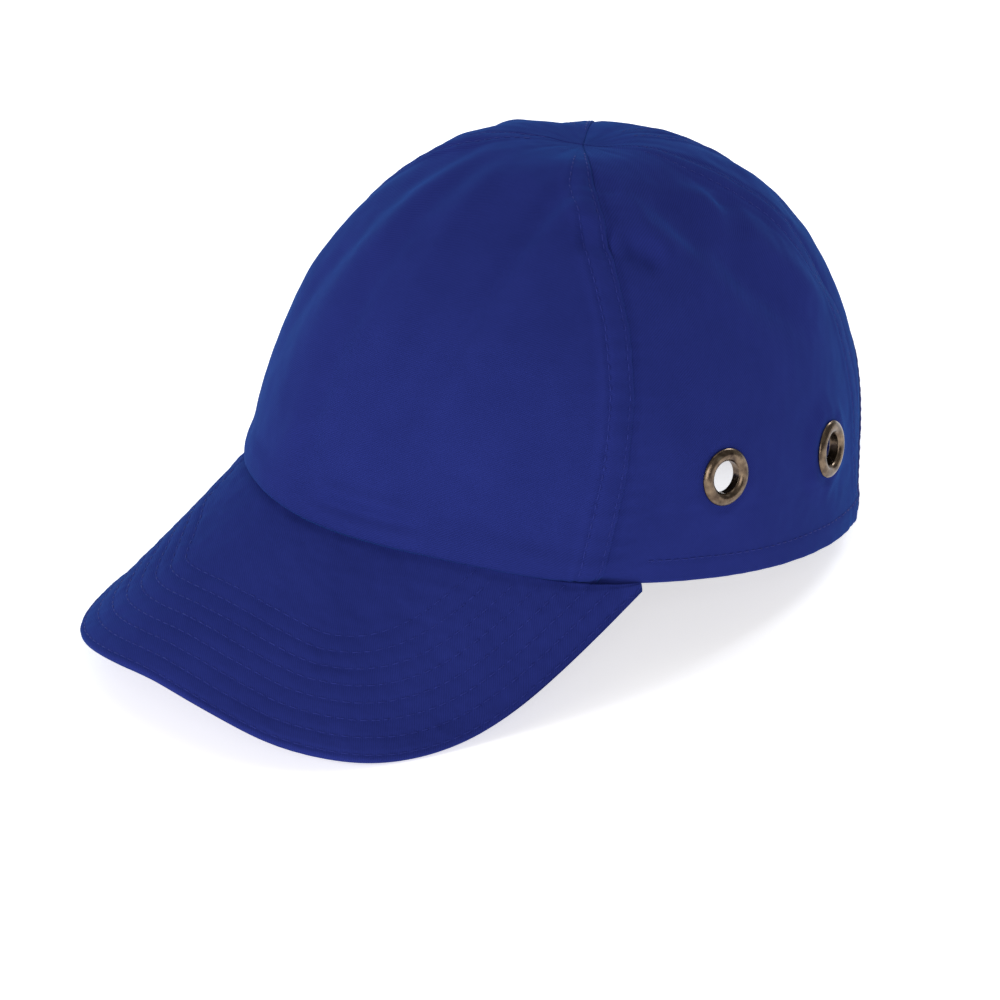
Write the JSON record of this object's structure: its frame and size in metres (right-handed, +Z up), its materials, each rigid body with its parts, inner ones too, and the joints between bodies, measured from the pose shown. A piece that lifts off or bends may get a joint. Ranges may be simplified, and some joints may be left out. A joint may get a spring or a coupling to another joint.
{
  "type": "bump cap",
  "caption": "Baseball-style cloth safety cap with a stitched curved visor, brass vent eyelets, a removable hard shell with foam pads, and an adjustable rear strap.",
  "frame": {"origin": "centre of the bounding box in plan, on the surface that the cap stands on", "axes": "+Z up, -Y towards the visor, +X towards the wearer's left; the cap stands on the visor's two low corners and the back of its hem, so its own up axis leans 12.33 degrees back"},
  "size_m": [0.1694, 0.2778, 0.1415],
  "materials": {
    "cap_cloth": "royal-navy cotton twill",
    "brass": "antique, dull",
    "shell_plastic": "moulded ABS",
    "pad_foam": "closed-cell foam",
    "board_plastic": "polyethylene board",
    "buckram": "stiff open weave",
    "tape": "woven tape",
    "sweatband_cloth": "cotton towelling",
    "hook": "nylon hook",
    "loop": "nylon loop"
  },
  "bodies": {
    "crown": {"front_panel": "cap_cloth", "front_buckram": "buckram", "side_panel_left": "cap_cloth", "side_panel_right": "cap_cloth", "back_panel_left": "cap_cloth", "back_panel_right": "cap_cloth", "seam_tape_front_left": "tape", "seam_tape_front_right": "tape", "seam_tape_rear_left": "tape", "seam_tape_rear_right": "tape", "seam_tape_centre_back": "tape", "arch_binding": "tape", "sweatband": "sweatband_cloth", "brow_foam": "pad_foam", "visor_top_cover": "cap_cloth", "visor_under_cover": "cap_cloth", "visor_board": "board_plastic", "eyelet_front_left": "brass", "eyelet_front_right": "brass", "eyelet_rear_left": "brass", "eyelet_rear_right": "brass", "washer_front_left": "brass", "washer_front_right": "brass", "washer_rear_left": "brass", "washer_rear_right": "brass", "strap_right": "cap_cloth", "loop_tape": "loop"},
    "insert": {"bump_shell": "shell_plastic", "pad_front": "pad_foam", "pad_left": "pad_foam", "pad_right": "pad_foam", "pad_back": "pad_foam", "pad_top": "pad_foam"},
    "strap_root": {"strap_left_root": "cap_cloth"},
    "strap_flap": {"strap_left_flap": "cap_cloth", "hook_tape": "hook"}
  },
  "joints": [
    {"name": "insert_removal", "type": "slide", "parent": "crown", "child": "insert", "axis": [0, -0.2135, -0.9769], "range_m": [0, 0.12]},
    {"name": "strap_adjust", "type": "hinge", "parent": "crown", "child": "strap_root", "pos_m": [0, 0.0619, 0.029], "axis": [0, 0.2135, 0.9769], "range_deg": [-8, 18]},
    {"name": "strap_peel", "type": "hinge", "parent": "strap_root", "child": "strap_flap", "pos_m": [0.01166, 0.13547, 0.01292], "axis": [0, -0.2135, -0.9769], "range_deg": [0, 100]}
  ]
}
